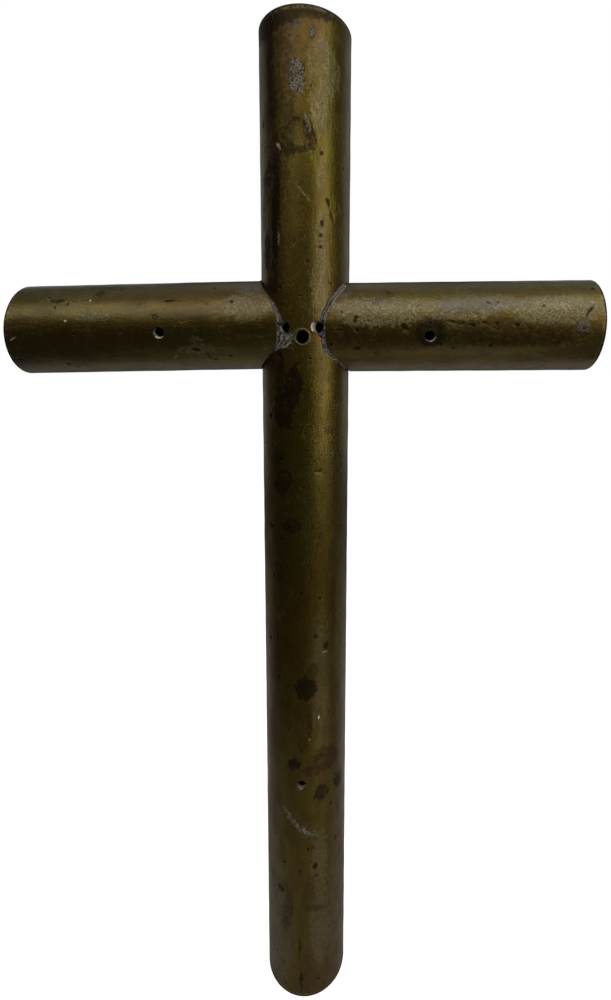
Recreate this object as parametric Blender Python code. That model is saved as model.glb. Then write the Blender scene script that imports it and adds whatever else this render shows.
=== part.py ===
# A plain bronze cross made of round tube: a full-length upright, two coped arms and two solder seams.
# Metres, +Z up the upright, the front faces -Y, origin at the centre of the foot's cut end.
# The cross is hand-made: its arms lean a little and its ends are not sawn quite square.
import math

import bmesh
import bpy
from mathutils import Matrix, Vector

# Tube stock, the same for the upright and the arms
TUBE_RADIUS = 0.015
WALL = 0.002

# Lengths on the axes, from the crossing of the axes to the cut ends
FOOT_LENGTH = 0.2509
TOP_LENGTH = 0.0922
LEFT_LENGTH = 0.0967
RIGHT_LENGTH = 0.0957

# How the arms sit on the upright: a positive rise lifts the far end
LEFT_RISE = math.radians(-1.45)
RIGHT_RISE = math.radians(0.78)
LEFT_OFFSET = 0.0006
RIGHT_OFFSET = -0.0006

# Slant of each saw cut: across the picture (or upwards on an arm), and towards the back
TOP_CUT = (math.radians(-1.74), math.radians(-2.55))
LEFT_CUT = (math.radians(-6.94), math.radians(-1.56))
RIGHT_CUT = (math.radians(-1.03), math.radians(-0.78))
OUTER_EDGE_BREAK = 0.0006
INNER_EDGE_BREAK = 0.0003

# The cope: its front and back tips are blunt, and its upper half is filed square to the wall
TIP_REACH = 0.0076
SQUARE_FROM = 0.35

# The solder bead round each cope, and how far its root sinks below the surface at the tips
BEAD_RADIUS = 0.0022
BEAD_SINK = 0.0021

# Drilled holes: diameter, distance from the crossing along the tube, and angle round the tube.
# The angle is 0 at the front; on the upright it grows to the right, on an arm upwards.
CENTRE_HOLE = (0.0039, -0.0044, math.radians(1.2))
LEFT_SEAM_HOLE = (0.0033, -0.0014, math.radians(-20.9))
RIGHT_SEAM_HOLE = (0.0036, -0.0013, math.radians(19.7))
LOW_HOLE = (0.0032, -0.1624, math.radians(-0.5))
LEFT_ARM_HOLE = (0.0033, 0.0462, math.radians(-10.6))
RIGHT_ARM_HOLE = (0.0034, 0.0410, math.radians(-15.1))
HOLE_EDGE_BREAK = 0.0004

# Clearance between touching pieces
GAP = 0.0003

# Fineness of the round forms
SIDES = 64
BEAD_SIDES = 12
HOLE_SIDES = 24

# A bead's points are turned by half a side, so that its edges cross those of what cuts it
HALF_STEP = 0.5

BORE_RADIUS = TUBE_RADIUS - WALL
CROSSING = Vector((0.0, 0.0, FOOT_LENGTH))


def clear_scene():
    for thing in list(bpy.data.objects):
        bpy.data.objects.remove(thing, do_unlink=True)


def metal(name, colour, roughness):
    material = bpy.data.materials.new(name)
    material.use_nodes = True
    shader = material.node_tree.nodes["Principled BSDF"]
    shader.inputs["Base Color"].default_value = (*colour, 1.0)
    shader.inputs["Metallic"].default_value = 1.0
    shader.inputs["Roughness"].default_value = roughness
    return material


def angles(count, phase=0.0):
    """Angles once round, in radians; the phase turns them by a share of a step."""
    return [2.0 * math.pi * (i + phase) / count for i in range(count)]


def object_from_rings(name, rings, looped, material=None):
    """Joins rings of points, in order, with quads. A looped set closes on itself, another gets end caps."""
    mesh = bpy.data.meshes.new(name)
    shape = bmesh.new()
    rows = [[shape.verts.new(point) for point in ring] for ring in rings]
    pairs = list(zip(rows, rows[1:]))
    if looped:
        pairs.append((rows[-1], rows[0]))
    for first, second in pairs:
        for i in range(len(first)):
            j = (i + 1) % len(first)
            shape.faces.new((first[i], first[j], second[j], second[i]))
    if not looped:
        for row in (rows[0], rows[-1]):
            middle = shape.verts.new(sum((v.co for v in row), Vector()) / len(row))
            for i, vertex in enumerate(row):
                shape.faces.new((vertex, row[(i + 1) % len(row)], middle))
    bmesh.ops.recalc_face_normals(shape, faces=shape.faces)
    shape.to_mesh(mesh)
    shape.free()
    mesh.shade_smooth()
    mesh.set_sharp_from_angle(angle=math.radians(30.0))
    thing = bpy.data.objects.new(name, mesh)
    bpy.context.scene.collection.objects.link(thing)
    if material:
        mesh.materials.append(material)
    return thing


def as_cutter(thing):
    thing.display_type = "WIRE"
    thing.hide_render = True
    return thing


def cut(thing, cutter):
    modifier = thing.modifiers.new("cut by " + cutter.name, "BOOLEAN")
    modifier.operation = "DIFFERENCE"
    modifier.solver = "EXACT"
    modifier.object = cutter


# The upright

def upright_ring(radius, height, break_down=0.0, slanted=False):
    points = []
    for angle in angles(SIDES):
        x = radius * math.sin(angle)
        y = -radius * math.cos(angle)
        z = height - break_down
        if slanted:
            z += math.tan(TOP_CUT[0]) * x + math.tan(TOP_CUT[1]) * y
        points.append((x, y, z))
    return points


def make_upright():
    top = FOOT_LENGTH + TOP_LENGTH
    rings = [
        upright_ring(TUBE_RADIUS - OUTER_EDGE_BREAK, 0.0),
        upright_ring(TUBE_RADIUS, OUTER_EDGE_BREAK),
        upright_ring(TUBE_RADIUS, top, OUTER_EDGE_BREAK, slanted=True),
        upright_ring(TUBE_RADIUS - OUTER_EDGE_BREAK, top, slanted=True),
        upright_ring(BORE_RADIUS + INNER_EDGE_BREAK, top, slanted=True),
        upright_ring(BORE_RADIUS, top, INNER_EDGE_BREAK, slanted=True),
        upright_ring(BORE_RADIUS, INNER_EDGE_BREAK),
        upright_ring(BORE_RADIUS + INNER_EDGE_BREAK, 0.0),
    ]
    return object_from_rings("upright_tube", rings, True, metal("upright_bronze", (0.17, 0.135, 0.065), 0.42))


# The arms, each worked out in its own frame: along the arm, towards the back, and up

def arm_frame(side, rise, offset):
    along = Vector((side * math.cos(rise), 0.0, math.sin(rise)))
    up = Vector((-side * math.sin(rise), 0.0, math.cos(rise)))
    back = Vector((0.0, 1.0, 0.0))
    start = CROSSING + Vector((0.0, 0.0, offset))
    return lambda s, y, z: start + along * s + back * y + up * z


def saddle(radius, angle, rise, clearance):
    """Distance along the arm at which a line on it, at this radius and angle, comes to the upright."""
    reach = (TUBE_RADIUS + clearance) ** 2 - (radius * math.cos(angle)) ** 2
    height = radius * math.sin(angle)
    return (math.sqrt(max(reach, 0.0)) + height * math.sin(rise)) / math.cos(rise)


def cope_inner(angle, rise):
    return saddle(BORE_RADIUS, angle, rise, GAP)


def cope_outer(angle, rise):
    """The outer edge of the cope: a true saddle with blunt tips below, square to the wall above."""
    true_edge = max(saddle(TUBE_RADIUS, angle, rise, GAP), TIP_REACH)
    share = min(max(math.sin(angle) / SQUARE_FROM, 0.0), 1.0)
    square = share * share * (3.0 - 2.0 * share)
    return true_edge + (max(cope_inner(angle, rise), true_edge) - true_edge) * square


def arm_ring(place, radius, distance):
    """A ring round the arm; distance gives how far along it each point lies, from angle, back and up."""
    points = []
    for angle in angles(SIDES):
        y = -radius * math.cos(angle)
        z = radius * math.sin(angle)
        points.append(place(distance(angle, y, z), y, z))
    return points


def make_arm(name, place, length, rise, slants, material):
    def end(back_off):
        return lambda angle, y, z: length + math.tan(slants[0]) * z + math.tan(slants[1]) * y - back_off

    rings = [
        arm_ring(place, TUBE_RADIUS, lambda angle, y, z: cope_outer(angle, rise)),
        arm_ring(place, TUBE_RADIUS, end(OUTER_EDGE_BREAK)),
        arm_ring(place, TUBE_RADIUS - OUTER_EDGE_BREAK, end(0.0)),
        arm_ring(place, BORE_RADIUS + INNER_EDGE_BREAK, end(0.0)),
        arm_ring(place, BORE_RADIUS, end(INNER_EDGE_BREAK)),
        arm_ring(place, BORE_RADIUS, lambda angle, y, z: cope_inner(angle, rise)),
    ]
    return object_from_rings(name, rings, True, material)


# The solder seams: a round bead along the cope's outer edge, less the tubes and their clearance

def make_bead(name, place, rise, material):
    rings = []
    for turn in angles(BEAD_SIDES, HALF_STEP):
        def radius_at(angle, turn=turn):
            sink = BEAD_SINK * math.cos(angle) ** 2
            return TUBE_RADIUS + GAP - sink + BEAD_RADIUS * math.sin(turn)

        points = []
        for angle in angles(SIDES, HALF_STEP):
            radius = radius_at(angle)
            distance = cope_outer(angle, rise) - GAP + BEAD_RADIUS * math.cos(turn)
            points.append(place(distance, -radius * math.cos(angle), radius * math.sin(angle)))
        rings.append(points)
    return object_from_rings(name, rings, True, material)


def make_arm_envelope(name, place, length, rise):
    """The arm as a solid rod with its clearance, which cuts the bead."""
    wide = TUBE_RADIUS + GAP
    rings = [
        arm_ring(place, BORE_RADIUS - GAP, lambda angle, y, z: cope_inner(angle, rise) - GAP),
        arm_ring(place, wide, lambda angle, y, z: cope_outer(angle, rise) - GAP),
        arm_ring(place, wide, lambda angle, y, z: length),
    ]
    return as_cutter(object_from_rings(name, rings, False))


def make_upright_envelope():
    wide = TUBE_RADIUS + GAP
    rings = [
        upright_ring(wide, FOOT_LENGTH - 3.0 * TUBE_RADIUS),
        upright_ring(wide, FOOT_LENGTH + 3.0 * TUBE_RADIUS),
    ]
    return as_cutter(object_from_rings("upright_envelope", rings, False))


# The drilled holes go through the front wall alone

def make_drill(name, point, outward, diameter):
    """A rod along outward that runs from inside the bore to beyond the wall and widens at its surface."""
    radius = diameter / 2.0
    beyond = WALL + 2.0 * HOLE_EDGE_BREAK
    frame = outward.to_track_quat("Z", "Y").to_matrix().to_4x4()
    frame = Matrix.Translation(point) @ frame
    profile = (
        (radius, -2.0 * WALL),
        (radius, -HOLE_EDGE_BREAK),
        (radius + HOLE_EDGE_BREAK + beyond, beyond),
    )
    rings = []
    for wide, height in profile:
        rings.append([frame @ Vector((wide * math.cos(a), wide * math.sin(a), height)) for a in angles(HOLE_SIDES)])
    return as_cutter(object_from_rings(name, rings, False))


def upright_drill(name, hole):
    diameter, height, angle = hole
    outward = Vector((math.sin(angle), -math.cos(angle), 0.0))
    return make_drill(name, CROSSING + outward * TUBE_RADIUS + Vector((0.0, 0.0, height)), outward, diameter)


def arm_drill(name, place, hole):
    diameter, distance, angle = hole
    back = -math.cos(angle)
    up = math.sin(angle)
    point = place(distance, back * TUBE_RADIUS, up * TUBE_RADIUS)
    outward = point - place(distance, 0.0, 0.0)
    return make_drill(name, point, outward.normalized(), diameter)


def main():
    clear_scene()
    upright = make_upright()
    upright_envelope = make_upright_envelope()
    for name, hole in (("centre_drill", CENTRE_HOLE), ("low_drill", LOW_HOLE)):
        cut(upright, upright_drill(name, hole))
    arms = (
        ("left", -1.0, LEFT_LENGTH, LEFT_RISE, LEFT_OFFSET, LEFT_CUT, LEFT_ARM_HOLE, LEFT_SEAM_HOLE),
        ("right", 1.0, RIGHT_LENGTH, RIGHT_RISE, RIGHT_OFFSET, RIGHT_CUT, RIGHT_ARM_HOLE, RIGHT_SEAM_HOLE),
    )
    for word, side, length, rise, offset, slants, arm_hole, seam_hole in arms:
        place = arm_frame(side, rise, offset)
        bronze = metal(word + "_arm_bronze", (0.16, 0.13, 0.07), 0.42)
        arm = make_arm(word + "_arm_tube", place, length, rise, slants, bronze)
        cut(arm, arm_drill(word + "_arm_drill", place, arm_hole))
        seam_drill = upright_drill(word + "_seam_drill", seam_hole)
        cut(upright, seam_drill)
        solder = metal(word + "_solder", (0.36, 0.35, 0.31), 0.5)
        seam = make_bead(word + "_solder_seam", place, rise, solder)
        cut(seam, make_arm_envelope(word + "_arm_envelope", place, length, rise))
        cut(seam, upright_envelope)
        cut(seam, seam_drill)


main()
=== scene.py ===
import math

import bpy
import numpy as np
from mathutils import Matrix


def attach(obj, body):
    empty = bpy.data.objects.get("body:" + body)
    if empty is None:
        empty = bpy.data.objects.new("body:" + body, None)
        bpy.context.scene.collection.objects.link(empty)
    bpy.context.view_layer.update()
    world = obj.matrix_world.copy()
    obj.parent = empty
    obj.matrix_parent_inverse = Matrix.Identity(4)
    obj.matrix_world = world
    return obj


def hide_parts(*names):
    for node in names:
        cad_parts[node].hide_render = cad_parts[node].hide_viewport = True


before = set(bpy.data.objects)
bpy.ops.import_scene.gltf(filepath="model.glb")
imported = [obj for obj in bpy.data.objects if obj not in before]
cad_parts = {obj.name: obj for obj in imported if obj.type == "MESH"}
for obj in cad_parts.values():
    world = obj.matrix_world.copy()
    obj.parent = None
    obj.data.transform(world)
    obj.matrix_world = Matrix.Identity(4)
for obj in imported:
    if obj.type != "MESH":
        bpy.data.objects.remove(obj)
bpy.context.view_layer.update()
print("frame loaded")

mm = 0.001

# the tube that all three lengths are cut from
tube = {
    "radius": 15.0 * mm,
    "wall": 2.0 * mm,
    "outerEdge": 0.3 * mm,  # broken edges of the sawn ends
    "innerEdge": 0.3 * mm,
    "rimSteps": 5,
    "faceSteps": 5,
    "boreStep": 5.0 * mm,
}
boreRadius = tube["radius"] - tube["wall"]

# how finely the tubes are meshed: the front carries the marks
grid = {
    "backTurn": 5.5,  # degrees
    "sideTurn": 3.0,
    "frontTurn": 1.1,
    "frontHalf": 46.0,
    "sideHalf": 105.0,
    "holeZone": 3.4 * mm,
    "holeStep": 0.27 * mm,
}

crossing = np.array([0.0, 0.0, 250.9 * mm])

# holes: diameter, distance from the crossing along the tube, degrees round it from the front, lean of the
# drill in degrees, direction of the glint on its mouth (0 right, 90 up), strength of the glint, raised ring
upright = {
    "node": "upright_tube",
    "slot": "upright_bronze",
    "top": 343.08 * mm,
    "cut": (-1.74, -2.55),  # degrees of slant to the right and to the back
    "slantReach": 24.0 * mm,
    "rowStep": 0.74 * mm,
    "holes": [
        (4.15 * mm, -4.4 * mm, 1.2, 0.0, 220.0, 0.25, 1.0),
        (3.3 * mm, -1.4 * mm, -20.9, 0.0, 200.0, 0.6, 0.0),
        (3.6 * mm, -1.3 * mm, 19.7, -44.0, 175.0, 1.0, 0.2),
        (3.2 * mm, -162.4 * mm, -0.5, 6.0, 230.0, 0.3, 0.15),
    ],
}

leftArm = {
    "node": "left_arm_tube",
    "slot": "left_arm_bronze",
    "seamNode": "left_solder_seam",
    "seamSlot": "left_solder",
    "side": -1.0,
    "rise": -1.45,
    "offset": 0.6 * mm,
    "length": 96.67 * mm,
    "cut": (-6.94, -1.56),  # degrees of slant upwards and to the back
    "holes": [(3.3 * mm, 46.2 * mm, -10.6, -6.0, 275.0, 1.0, 0.1)],
}

rightArm = {
    "node": "right_arm_tube",
    "slot": "right_arm_bronze",
    "seamNode": "right_solder_seam",
    "seamSlot": "right_solder",
    "side": 1.0,
    "rise": 0.78,
    "offset": -0.6 * mm,
    "length": 95.67 * mm,
    "cut": (-1.03, -0.78),
    "holes": [(3.4 * mm, 41.0 * mm, -15.1, 0.0, 315.0, 0.6, 0.5)],
}

cope = {
    "gap": 0.3 * mm,
    "tip": 7.6 * mm,  # blunt tips at the front and back
    "round": 2.2 * mm,  # how softly the tips run into the sides
    "squareFrom": 0.35,
    "reach": 26.0 * mm,  # how far along the arm the rows follow the cope
    "rowStep": 0.36 * mm,
    "edge": 0.15 * mm,
}

drill = {
    "sides": 56,
    "mouth": 0.28 * mm,  # rounding at the mouth of a hole
    "mouthSteps": 4,
    "depth": 4.0 * mm,
    "over": 1.2 * mm,
    "point": 0.0002 * mm,
}


def smoothStep(low, high, value):
    # 0 below low, 1 above high, eased between them
    share = np.clip((value - low) / (high - low), 0.0, 1.0)
    return share * share * (3.0 - 2.0 * share)


def spaced(low, high, step, zones=()):
    # values from low to high whose spacing is step, and finer in zones of (centre, half width, step)
    fine = np.linspace(low, high, 6000)
    density = np.full(fine.shape, 1.0 / step)
    for centre, half, fineStep in zones:
        near = 1.0 - smoothStep(half, half * 1.35, np.abs(fine - centre))
        density = np.maximum(density, near / fineStep)
    count = np.concatenate([[0.0], np.cumsum(0.5 * (density[1:] + density[:-1]) * np.diff(fine))])
    return np.interp(np.linspace(0.0, count[-1], int(math.ceil(count[-1])) + 1), count, fine)


def turns():
    # the columns of a tube, in radians round it from the front
    zones = [(0.0, grid["sideHalf"], grid["sideTurn"]), (0.0, grid["frontHalf"], grid["frontTurn"])]
    return np.radians(spaced(-180.0, 180.0, grid["backTurn"], zones)[:-1])


def waveNoise(points, size, seed, waves=28):
    # sine waves of about the given size in random directions, summed: about -1 to 1
    draw = np.random.default_rng(seed)
    directions = draw.normal(size=(waves, 3))
    directions /= np.linalg.norm(directions, axis=1)[:, None]
    lengths = size * draw.uniform(0.6, 1.7, waves)
    phases = draw.uniform(0.0, 2.0 * math.pi, waves)
    total = np.zeros(len(points))
    for direction, length, phase in zip(directions, lengths, phases):
        total += np.sin(points @ direction * (2.0 * math.pi / length) + phase)
    return np.clip(total / math.sqrt(waves) / 1.4, -1.5, 1.5)


def makeMesh(name, points, faces):
    # a mesh of four-cornered faces whose outside is where its volume is positive
    corner = points[faces]
    cross = np.cross(corner[:, 2] - corner[:, 0], corner[:, 3] - corner[:, 1])
    if (corner.mean(axis=1) * cross).sum() < 0.0:
        faces = faces[:, ::-1]
    mesh = bpy.data.meshes.new(name)
    mesh.from_pydata(points.tolist(), [], faces.tolist())
    mesh.validate()
    return mesh


def closedGrid(name, rows):
    # rows x columns x 3 points, closed both ways, as a ring of quads
    count, wide = rows.shape[:2]
    index = np.arange(count * wide).reshape(count, wide)
    below = np.roll(index, -1, 0)
    faces = np.stack([index, np.roll(index, -1, 1), np.roll(below, -1, 1), below], axis=-1)
    return makeMesh(name, rows.reshape(-1, 3), faces.reshape(-1, 4))


def layStrip(mesh, wide, shown):
    # a map that runs round the strip and across it: 0 to 1 on the rows that show, above 1 underneath
    index = np.empty(len(mesh.loops), dtype=np.int32)
    mesh.loops.foreach_get("vertex_index", index)
    across = np.minimum(index // wide / (shown - 1.0), 1.2)
    around = (index % wide) / wide
    layer = mesh.uv_layers.new(name="strip")
    layer.data.foreach_set("uv", np.stack([around, across], axis=-1).reshape(-1).astype(np.float32))


def addPiece(name, mesh):
    piece = bpy.data.objects.new(name, mesh)
    bpy.context.scene.collection.objects.link(piece)
    return piece


def quarter(steps):
    # sine and cosine at even steps through a quarter turn, ends included
    turn = np.linspace(0.0, 0.5 * math.pi, steps)
    return np.sin(turn), np.cos(turn)


# Upright: a wall section of radius and height, carried round the axis; the top rows lean with the saw cut
def uprightRows():
    radius, outer, inner = tube["radius"], tube["outerEdge"], tube["innerEdge"]
    top = upright["top"]
    zones = [(crossing[2] + along, grid["holeZone"], grid["holeStep"]) for _, along, *_ in upright["holes"]]
    wallUp = spaced(outer, top - outer, upright["rowStep"], zones)
    boreDown = spaced(inner, top - inner, tube["boreStep"])[::-1]
    rise, fall = quarter(tube["rimSteps"])
    faceOut = np.linspace(radius - outer, boreRadius + inner, tube["faceSteps"])[1:-1]
    section = [
        (np.full(wallUp.shape, radius), wallUp),
        (radius - outer * (1.0 - fall[1:]), top - outer * (1.0 - rise[1:])),
        (faceOut, np.full(faceOut.shape, top)),
        (boreRadius + inner * (1.0 - rise), top - inner * (1.0 - fall)),
        (np.full(boreDown[1:-1].shape, boreRadius), boreDown[1:-1]),
        (boreRadius + inner * (1.0 - fall), inner * (1.0 - rise)),
        (faceOut[::-1], np.zeros(faceOut.shape)),
        (radius - outer * (1.0 - rise[:-1]), outer * (1.0 - fall[:-1])),
    ]
    radii = np.concatenate([part[0] for part in section])[:, None]
    heights = np.concatenate([part[1] for part in section])[:, None]
    angle = turns()[None, :]
    x, y = radii * np.sin(angle), -radii * np.cos(angle)
    lean = smoothStep(top - upright["slantReach"], top - 2.0 * mm, heights)
    slope = [math.tan(math.radians(cut)) for cut in upright["cut"]]
    return np.stack([x, y, heights + lean * (slope[0] * x + slope[1] * y)], axis=-1)


def armFrame(arm):
    # directions along, up and back of an arm, and the point that it starts from
    rise, side = math.radians(arm["rise"]), arm["side"]
    along = np.array([side * math.cos(rise), 0.0, math.sin(rise)])
    up = np.array([-side * math.sin(rise), 0.0, math.cos(rise)])
    return along, up, np.array([0.0, 1.0, 0.0]), crossing + np.array([0.0, 0.0, arm["offset"]])


def armPoint(arm, along, radius, angle):
    # a point at a distance along the arm, a radius and an angle round it from the front
    axis, up, back, start = armFrame(arm)
    along, radius, angle = np.broadcast_arrays(along, radius, angle)
    depth, height = -radius * np.cos(angle), radius * np.sin(angle)
    return start + along[..., None] * axis + depth[..., None] * back + height[..., None] * up


def saddle(arm, radius, angle, clearance):
    # distance along the arm where a line at this radius and angle meets the upright
    rise = math.radians(arm["rise"])
    reach = np.maximum((tube["radius"] + clearance) ** 2 - (radius * np.cos(angle)) ** 2, 0.0)
    return (np.sqrt(reach) + radius * np.sin(angle) * math.sin(rise)) / math.cos(rise)


def copeInner(arm, angle):
    return saddle(arm, boreRadius, angle, cope["gap"])


def softMaximum(first, second, softness):
    # the larger of two values, with the corner between them rounded
    return 0.5 * (first + second + np.sqrt((first - second) ** 2 + softness**2))


def copeOuter(arm, angle):
    # square to the wall in the upper half, a true saddle in the lower one, blunt at the tips
    softness = cope["round"] * np.cos(angle) ** 2
    true = softMaximum(saddle(arm, tube["radius"], angle, cope["gap"]), cope["tip"], softness)
    square = smoothStep(0.0, cope["squareFrom"], np.sin(angle))
    return true + (softMaximum(copeInner(arm, angle), true, 0.5 * softness) - true) * square


# Arm: a wall section carried round the arm; its first rows follow the cope, its last ones the saw cut
def armRows(arm):
    radius, outer, inner, edge = tube["radius"], tube["outerEdge"], tube["innerEdge"], cope["edge"]
    length, angle = arm["length"], turns()[None, :]
    tipInner = copeInner(arm, np.zeros(1))[0]
    zones = [(along, grid["holeZone"], grid["holeStep"]) for _, along, *_ in arm["holes"]]
    slope = [math.tan(math.radians(cut)) for cut in arm["cut"]]

    def place(radii, base, startLine, startAt):
        radii, base = np.atleast_1d(radii)[:, None], np.atleast_1d(base)[:, None]
        follow = 1.0 - smoothStep(startAt, startAt + cope["reach"], base)
        lean = smoothStep(length - cope["reach"], length - 2.0 * mm, base)
        slant = slope[0] * radii * np.sin(angle) - slope[1] * radii * np.cos(angle)
        along = base + (startLine - startAt) * follow + lean * slant
        return armPoint(arm, along, radii, angle)

    outLine, inLine = copeOuter(arm, angle), copeInner(arm, angle)
    wallOut = spaced(cope["tip"] + edge, length - outer, cope["rowStep"], zones)
    boreBack = spaced(tipInner + edge, length - inner, tube["boreStep"])[::-1]
    rise, fall = quarter(tube["rimSteps"])
    faceIn = np.linspace(radius - outer, boreRadius + inner, tube["faceSteps"])[1:-1]
    share = np.linspace(1.0, 0.0, tube["faceSteps"])[:, None]
    faceRadius = boreRadius + edge + (radius - boreRadius - 2.0 * edge) * share
    faceLine = inLine + (outLine - inLine) * share
    return np.concatenate([
        place(np.full(wallOut.shape, radius), wallOut, outLine, cope["tip"]),
        place(radius - outer * (1.0 - fall[1:]), length - outer * (1.0 - rise[1:]), outLine, cope["tip"]),
        place(faceIn, np.full(faceIn.shape, length), outLine, cope["tip"]),
        place(boreRadius + inner * (1.0 - rise), length - inner * (1.0 - fall), inLine, tipInner),
        place(np.full(boreBack[1:].shape, boreRadius), boreBack[1:], inLine, tipInner),
        armPoint(arm, faceLine, faceRadius, angle)[::-1],
    ])


# Solder: a strip from a toe on the upright over to a toe on the arm, closed underneath inside the joint.
# Each row says: degrees round the arm from the front, width on the upright, climb over the arm, hollow
leftArm["solder"] = [
    (-178.0, 1.0, 0.5, 0.30), (-150.0, 1.3, 0.4, 0.25), (-120.0, 0.8, 0.5, 0.30), (-90.0, 0.6, 0.4, 0.25),
    (-68.0, 1.1, 0.6, 0.05), (-50.0, 1.4, 0.5, 0.05), (-38.0, 1.4, 0.0, 0.30), (-29.0, 2.8, -0.4, 0.55),
    (-22.0, 6.6, -0.4, 0.60), (-14.0, 7.0, -0.4, 0.60), (-7.0, 3.2, -0.5, 0.45), (2.0, 1.6, -0.5, 0.25),
    (12.0, 1.0, -0.5, 0.30), (34.0, 0.7, -0.4, 0.35), (48.0, 0.6, -0.3, 0.35), (64.0, 0.4, 0.0, 0.35),
    (90.0, 0.5, 0.3, 0.35), (122.0, 0.9, 0.5, 0.30), (150.0, 1.2, 0.4, 0.20),
]
rightArm["solder"] = [
    (-178.0, 1.1, 0.5, 0.25), (-150.0, 0.9, 0.4, 0.30), (-120.0, 1.0, 0.6, 0.30), (-90.0, 0.5, 0.3, 0.35),
    (-74.0, 0.8, 0.6, 0.10), (-58.0, 0.9, 0.5, 0.10), (-46.0, 1.3, 0.1, 0.10), (-30.0, 2.2, -0.3, 0.10),
    (-16.0, 2.5, -0.3, 0.05), (-2.0, 2.6, -0.3, 0.00), (12.0, 2.2, -0.1, 0.00), (28.0, 2.3, 0.3, -0.05),
    (44.0, 3.0, 0.8, -0.05), (58.0, 3.3, 0.9, 0.05), (70.0, 1.8, 0.7, 0.25), (90.0, 0.8, 0.5, 0.35),
    (120.0, 1.0, 0.5, 0.30), (150.0, 1.3, 0.5, 0.20),
]
solder = {
    "columns": 640,
    "rows": 24,
    "ragged": 0.20,
    "raggedSize": 2.4 * mm,
    "sunk": 0.04 * mm,
    "film": 0.07 * mm,
    "lump": 0.14 * mm,
    "lumpSize": 2.2 * mm,
    "streak": 0.09 * mm,
    "streakSize": 1.3 * mm,
    "pull": 1.6,  # how strongly the hollow draws the strip into the corner
    "deep": 0.5 * mm,
}


def aroundValues(table, column, angle):
    # a column of the solder table as a smooth closed curve of the angle
    rows = sorted(table)
    stops = np.array([row[0] for row in rows])
    values = np.array([row[column] for row in rows])
    fine = np.arange(-180.0, 180.0, 1.0)
    line = np.interp(fine, stops, values, period=360.0)
    window = np.hanning(15)
    padded = np.concatenate([line[-20:], line, line[:20]])
    smooth = np.convolve(padded, window / window.sum(), mode="same")[20:-20]
    return np.interp(np.degrees(angle), fine, smooth, period=360.0)


def seamRows(arm, seed):
    radius = tube["radius"]
    angle = np.linspace(-math.pi, math.pi, solder["columns"], endpoint=False)
    width = aroundValues(arm["solder"], 1, angle) * mm
    lineUp = armPoint(arm, np.full(angle.shape, cope["tip"]), radius, angle)
    width = width * (1.0 + solder["ragged"] * waveNoise(lineUp, solder["raggedSize"], seed + 7))
    climb = aroundValues(arm["solder"], 2, angle) * mm
    hollow = aroundValues(arm["solder"], 3, angle)
    edgeAlong = copeOuter(arm, angle)

    # the line where the arm's end meets the upright, unrolled as arc and height
    footRadius = np.minimum(radius, np.sqrt(np.maximum(radius**2 - edgeAlong**2 * 0.999, 0.0))
                            / np.maximum(np.abs(np.cos(angle)), 0.05))
    footRadius = np.maximum(footRadius, boreRadius * 0.99)
    foot = armPoint(arm, saddle(arm, footRadius, angle, 0.0), footRadius, angle)
    arc = np.arctan2(foot[:, 0], -foot[:, 1])
    arc = np.unwrap(arc if arm["side"] > 0 else np.mod(arc, 2.0 * math.pi)) * radius
    height = foot[:, 2]
    stepArc = np.roll(arc, -1) - np.roll(arc, 1)
    stepHeight = np.roll(height, -1) - np.roll(height, 1)
    middle = np.array([arc.mean(), height.mean()])
    norm = np.hypot(stepArc, stepHeight)
    awayArc, awayHeight = stepHeight / norm, -stepArc / norm
    outward = (arc - middle[0]) * awayArc + (height - middle[1]) * awayHeight
    turn = np.where(outward.sum() < 0.0, -1.0, 1.0)
    toeArc = arc + turn * awayArc * width
    toeHeight = height + turn * awayHeight * width
    sunkRadius = radius - solder["sunk"]
    toeTurn = toeArc / radius
    toe = np.stack([sunkRadius * np.sin(toeTurn), -sunkRadius * np.cos(toeTurn), toeHeight], -1)

    # the toe on the arm: over its edge, or down on its end face
    over = np.maximum(climb, 0.0)
    under = np.minimum(climb, 0.0)
    armToe = armPoint(arm, edgeAlong + over + 0.02 * mm, radius + under - solder["sunk"], angle)

    share = np.linspace(0.0, 1.0, solder["rows"])[:, None, None]
    control = 0.5 * (toe + armToe)
    control = control + (foot - control) * hollow[:, None] * solder["pull"]
    strip = (1 - share) ** 2 * toe + 2 * share * (1 - share) * control + share**2 * armToe

    # lumps, file streaks and a least thickness over the upright
    flat = strip.reshape(-1, 3)
    lump = (waveNoise(flat, solder["lumpSize"], seed) + 0.2) * solder["lump"]
    lump = lump + (1.0 - 2.0 * np.abs(waveNoise(flat, solder["streakSize"], seed + 1))) * solder["streak"]
    body = (np.sin(math.pi * share[..., 0]) ** 0.7 * np.ones(solder["columns"])).reshape(-1)
    out = flat * np.array([1.0, 1.0, 0.0])
    rho = np.linalg.norm(out, axis=1)
    least = radius - solder["sunk"] + (solder["sunk"] + solder["film"]) * body
    wanted = np.maximum(rho + lump * body, least)
    flat = flat + out * (wanted / rho - 1.0)[:, None]
    strip = flat.reshape(strip.shape)

    inside = np.minimum(footRadius, radius - solder["deep"])
    meeting = saddle(arm, inside, angle, 0.0)
    deep = armPoint(arm, np.maximum(edgeAlong, meeting) + solder["deep"], inside, angle)
    low = armPoint(arm, meeting - solder["deep"], inside, angle)
    return np.concatenate([strip, deep[None], low[None]])


def holeAxis(kind, along, angle):
    # a hole's middle on the tube's surface and the direction out of it
    turn = math.radians(angle)
    if kind is upright:
        out = np.array([math.sin(turn), -math.cos(turn), 0.0])
        return crossing + np.array([0.0, 0.0, along]) + out * tube["radius"], out
    _, up, back, _ = armFrame(kind)
    out = up * math.sin(turn) - back * math.cos(turn)
    return armPoint(kind, np.array(along), np.array(tube["radius"]), np.array(turn)), out


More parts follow.
